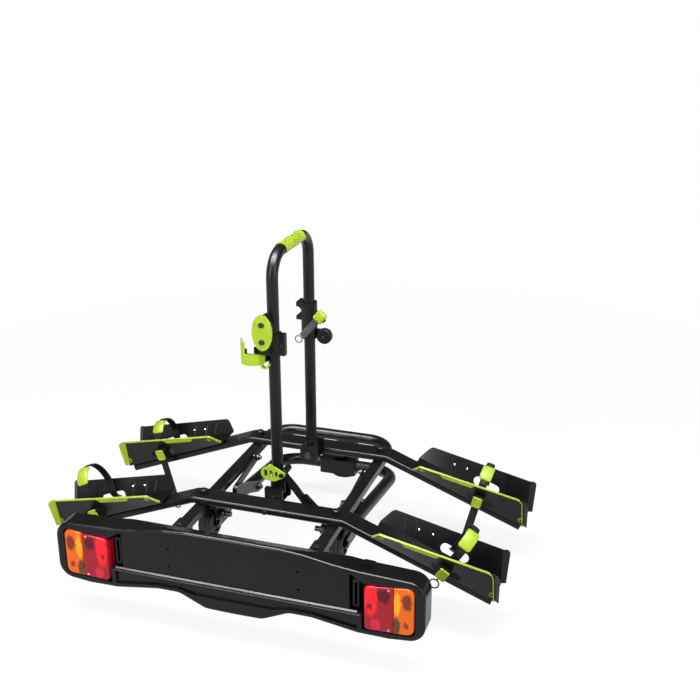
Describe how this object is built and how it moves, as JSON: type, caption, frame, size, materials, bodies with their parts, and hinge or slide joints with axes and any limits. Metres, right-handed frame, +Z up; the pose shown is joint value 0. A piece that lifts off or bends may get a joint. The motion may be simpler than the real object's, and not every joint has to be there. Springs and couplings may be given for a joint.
{
  "type": "bicycle carrier",
  "caption": "Tow-ball bicycle carrier with tilting platform, folding hoop with frame clamps, wheel trays with straps, small wheels and a light board.",
  "frame": {"origin": "centre of the tow-ball socket", "axes": "+X to the right along the crossbars, +Y towards the car, +Z up"},
  "size_m": [1.0226, 0.745, 0.7566],
  "materials": {
    "black_steel": "black powder coat, slightly glossy",
    "zinc_steel": "zinc plated fasteners",
    "black_plastic": "fine-grained black moulding",
    "lime_plastic": "lime green moulding",
    "board_plastic": "satin black moulding",
    "red_lens": "clear red lens",
    "amber_lens": "clear amber lens",
    "strap_rubber": "ribbed flexible strap",
    "grey_webbing": "dark grey strap",
    "tyre_rubber": "small wheel tyre",
    "hub_plastic": "moulded hub"
  },
  "bodies": {
    "base": {"base_tube": "black_steel", "coupling_housing": "black_steel", "forks": "black_steel", "base_pins": "zinc_steel"},
    "coupling_lever": {"coupling_lever": "black_plastic"},
    "wheel_right": {"hub_right": "hub_plastic", "tyre_right": "tyre_rubber"},
    "wheel_left": {"hub_left": "hub_plastic", "tyre_left": "tyre_rubber"},
    "stay_upper_right": {"stay_upper_right": "black_steel"},
    "stay_upper_left": {"stay_upper_left": "black_steel"},
    "stay_lower_right": {"stay_lower_right": "black_steel"},
    "stay_lower_left": {"stay_lower_left": "black_steel"},
    "platform": {"rail_right": "black_steel", "rail_left": "black_steel", "front_bow": "black_steel", "crossbar_front": "black_steel", "crossbar_rear": "black_steel", "crossbar_caps": "black_plastic", "platform_bolts": "zinc_steel", "crossbar_knobs": "black_plastic", "pivot_ears": "black_steel", "hinge_brackets": "black_steel", "hinge_pins": "zinc_steel", "hoop_brace": "black_steel", "lock_pin": "zinc_steel", "tray_front_right": "black_plastic", "tray_front_left": "black_plastic", "tray_rear_right": "black_plastic", "tray_rear_left": "black_plastic", "tray_trims": "lime_plastic", "board_housing": "board_plastic", "board_bezel": "board_plastic", "plate_panel": "board_plastic", "plate_channels": "board_plastic", "lamp_cases": "board_plastic", "red_lenses": "red_lens", "amber_lenses": "amber_lens", "board_sleeves": "black_steel", "cable_gland": "black_plastic", "wheel_straps": "strap_rubber", "rim_pads": "lime_plastic", "buckle_frames": "black_plastic"},
    "hoop": {"hoop_tube": "black_steel", "hoop_feet": "black_steel", "hoop_grip": "lime_plastic"},
    "lock_lever": {"lock_lever": "lime_plastic"},
    "rear_clamp": {"rear_clamp_body": "black_plastic", "rear_clamp_plate": "lime_plastic", "rear_clamp_bolts": "zinc_steel", "rear_clamp_cradle": "lime_plastic"},
    "front_clamp": {"front_clamp_body": "black_plastic", "front_clamp_strap": "grey_webbing", "front_clamp_buckle": "lime_plastic", "front_clamp_stud": "zinc_steel"},
    "front_clamp_knob": {"front_clamp_knob": "black_plastic"},
    "buckle_front_right": {"buckle_front_right": "lime_plastic"},
    "buckle_front_left": {"buckle_front_left": "lime_plastic"},
    "buckle_rear_right": {"buckle_rear_right": "lime_plastic"},
    "buckle_rear_left": {"buckle_rear_left": "lime_plastic"}
  },
  "joints": [
    {"name": "platform_tilt", "type": "hinge", "parent": "base", "child": "platform", "pos_m": [0, -0.49, 0.092], "axis": [1, 0, 0], "range_deg": [0, 40]},
    {"name": "stay_upper_right_swing", "type": "hinge", "parent": "platform", "child": "stay_upper_right", "pos_m": [0.133, -0.261, 0.119], "axis": [1, 0, 0], "range_deg": [0, 23.39]},
    {"name": "stay_lower_right_swing", "type": "hinge", "parent": "base", "child": "stay_lower_right", "pos_m": [0.128, -0.27, 0.04687], "axis": [1, 0, 0], "range_deg": [-16.6, 0]},
    {"name": "wheel_right_spin", "type": "hinge", "parent": "base", "child": "wheel_right", "pos_m": [0.149, -0.49, 0.066], "axis": [1, 0, 0], "continuous": true},
    {"name": "stay_upper_left_swing", "type": "hinge", "parent": "platform", "child": "stay_upper_left", "pos_m": [-0.133, -0.261, 0.119], "axis": [1, 0, 0], "range_deg": [0, 23.39]},
    {"name": "stay_lower_left_swing", "type": "hinge", "parent": "base", "child": "stay_lower_left", "pos_m": [-0.128, -0.27, 0.04687], "axis": [1, 0, 0], "range_deg": [-16.6, 0]},
    {"name": "wheel_left_spin", "type": "hinge", "parent": "base", "child": "wheel_left", "pos_m": [-0.149, -0.49, 0.066], "axis": [1, 0, 0], "continuous": true},
    {"name": "coupling_lever_lift", "type": "hinge", "parent": "base", "child": "coupling_lever", "pos_m": [0, 0.016, 0.048], "axis": [-1, 0, 0], "range_deg": [0, 70]},
    {"name": "hoop_fold", "type": "hinge", "parent": "platform", "child": "hoop", "pos_m": [0, -0.349, 0.146], "axis": [0, 1, 0], "range_deg": [-65, 0]},
    {"name": "lock_lever_turn", "type": "hinge", "parent": "platform", "child": "lock_lever", "pos_m": [0.021, -0.485, 0.203], "axis": [0, 1, 0], "range_deg": [0, 80]},
    {"name": "rear_clamp_swivel", "type": "hinge", "parent": "hoop", "child": "rear_clamp", "pos_m": [0, -0.454, 0.489], "axis": [0, 0, 1], "range_deg": [-35, 35]},
    {"name": "front_clamp_swivel", "type": "hinge", "parent": "hoop", "child": "front_clamp", "pos_m": [0, -0.244, 0.472], "axis": [0, 0, 1], "range_deg": [-35, 35]},
    {"name": "front_knob_turn", "type": "hinge", "parent": "front_clamp", "child": "front_clamp_knob", "pos_m": [0.037, -0.248, 0.438], "axis": [0, -1, 0], "continuous": true},
    {"name": "buckle_front_right_open", "type": "hinge", "parent": "platform", "child": "buckle_front_right", "pos_m": [0.39747, -0.24693, 0.0869], "axis": [-0.969, 0, 0.247], "range_deg": [0, 95]},
    {"name": "buckle_front_left_open", "type": "hinge", "parent": "platform", "child": "buckle_front_left", "pos_m": [-0.39747, -0.24693, 0.0869], "axis": [-0.969, 0, -0.247], "range_deg": [0, 95]},
    {"name": "buckle_rear_right_open", "type": "hinge", "parent": "platform", "child": "buckle_rear_right", "pos_m": [0.39926, -0.56493, 0.08612], "axis": [-0.8387, 0, 0.5446], "range_deg": [0, 95]},
    {"name": "buckle_rear_left_open", "type": "hinge", "parent": "platform", "child": "buckle_rear_left", "pos_m": [-0.39853, -0.56493, 0.08653], "axis": [-0.9063, 0, -0.4226], "range_deg": [0, 95]}
  ],
  "couplings": [
    {"joint": "stay_upper_right_swing", "follows": "platform_tilt", "ratio": 0.5847},
    {"joint": "stay_lower_right_swing", "follows": "platform_tilt", "ratio": -0.4151},
    {"joint": "stay_upper_left_swing", "follows": "platform_tilt", "ratio": 0.5847},
    {"joint": "stay_lower_left_swing", "follows": "platform_tilt", "ratio": -0.4151}
  ]
}
